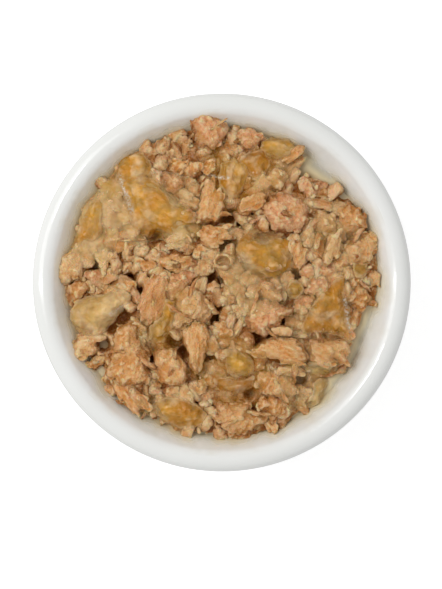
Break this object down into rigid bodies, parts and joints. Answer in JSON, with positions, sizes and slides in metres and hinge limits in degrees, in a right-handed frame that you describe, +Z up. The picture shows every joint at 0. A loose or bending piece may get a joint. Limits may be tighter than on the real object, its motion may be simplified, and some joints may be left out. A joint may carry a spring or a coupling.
{
  "type": "dish of flaked cat food in jelly",
  "caption": "Round white glazed dish heaped with flaked wet cat food: ragged meat flakes and amber jelly lumps in a pale broth.",
  "frame": {"origin": "centre of the foot ring, on the surface that the dish stands on", "axes": "+Z up through the middle of the dish; +Y is the far side of the heap as it is served, where its highest outer flake lies"},
  "size_m": [0.11, 0.11, 0.0385],
  "materials": {
    "dish": "gloss",
    "broth": "gloss",
    "meat": "satin",
    "jelly": "gloss"
  },
  "bodies": {
    "root": {"dish": "dish", "broth": "broth", "meat_heap": "meat", "jelly_01": "jelly", "jelly_02": "jelly", "jelly_03": "jelly", "jelly_04": "jelly", "jelly_05": "jelly", "jelly_06": "jelly", "jelly_07": "jelly", "jelly_08": "jelly", "jelly_09": "jelly", "jelly_10": "jelly", "jelly_11": "jelly", "jelly_12": "jelly", "jelly_13": "jelly", "jelly_14": "jelly", "jelly_15": "jelly", "jelly_16": "jelly", "jelly_17": "jelly", "flake_01": "meat", "flake_02": "meat", "flake_03": "meat", "flake_04": "meat", "flake_05": "meat", "flake_06": "meat", "flake_07": "meat", "flake_08": "meat", "flake_09": "meat", "flake_10": "meat", "flake_11": "meat", "flake_12": "meat", "flake_13": "meat", "flake_14": "meat", "flake_15": "meat", "flake_16": "meat", "flake_17": "meat", "flake_18": "meat", "flake_19": "meat", "flake_20": "meat", "flake_21": "meat", "flake_22": "meat", "flake_23": "meat", "flake_24": "meat", "flake_25": "meat", "flake_26": "meat", "flake_27": "meat", "flake_28": "meat", "flake_29": "meat", "flake_30": "meat", "flake_31": "meat", "flake_32": "meat", "flake_33": "meat", "flake_34": "meat", "flake_35": "meat", "flake_36": "meat", "flake_37": "meat", "flake_38": "meat"}
  },
  "joints": []
}
